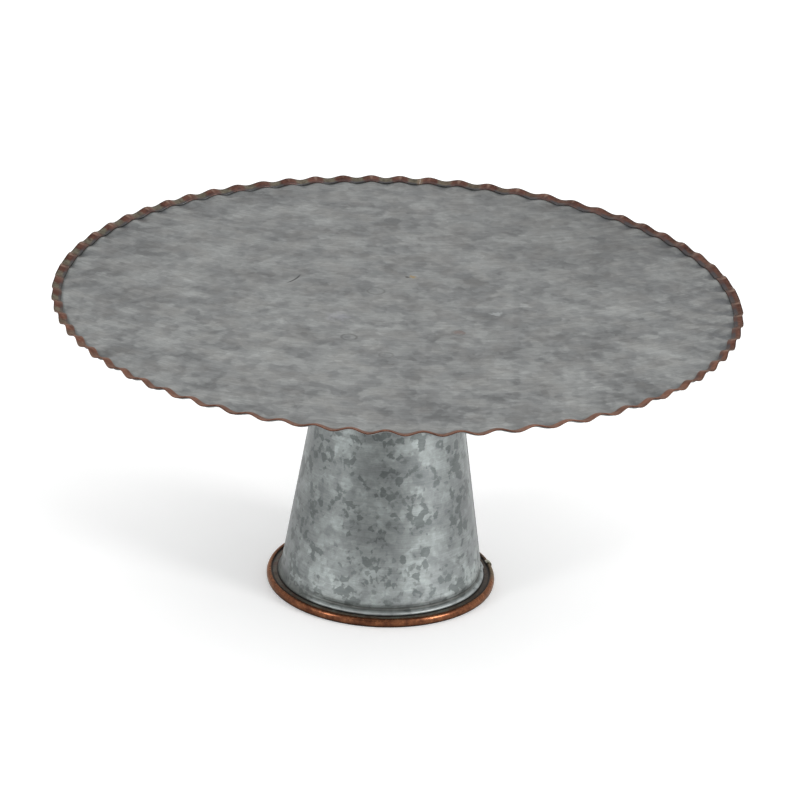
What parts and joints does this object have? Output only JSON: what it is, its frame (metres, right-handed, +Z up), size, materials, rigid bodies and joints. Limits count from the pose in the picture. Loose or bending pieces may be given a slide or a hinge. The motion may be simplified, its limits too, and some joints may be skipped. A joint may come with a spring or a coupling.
{
  "type": "cake stand",
  "caption": "Round galvanised cake stand: a flat plate with a small fluted copper-finished edge on a hollow conical pedestal with a beaded foot and rolled copper rim.",
  "frame": {"origin": "on the surface the stand rests on, under the centre of the serving plate", "axes": "+Z up, normal to the serving plate; +X towards the viewer's right when the side seam is at the back right; +Y away from the viewer"},
  "size_m": [0.3307, 0.3306, 0.151],
  "materials": {
    "galvanised_plate": "hot-dip galvanised sheet with soft low-contrast spangle, satin",
    "galvanised_cone": "galvanised sheet with crisp darker spangle patches and fine brushed lines, satin",
    "antique_copper": "antique copper finish, brown patina in the hollows, brighter on worn ridges",
    "gutter_patina": "overbrushed copper patina and bare zinc, dull",
    "solder": "dull grey tin solder, rough",
    "core_wire": "plain drawn steel wire"
  },
  "bodies": {
    "root": {"serving_plate": "galvanised_plate", "plate_edging": "antique_copper", "pedestal_cone": "galvanised_cone", "pedestal_top_disc": "galvanised_cone", "seam_solder": "solder", "foot_ring": "gutter_patina", "foot_rim": "antique_copper", "foot_rim_wire": "core_wire", "rim_joint_solder": "solder"}
  },
  "joints": []
}
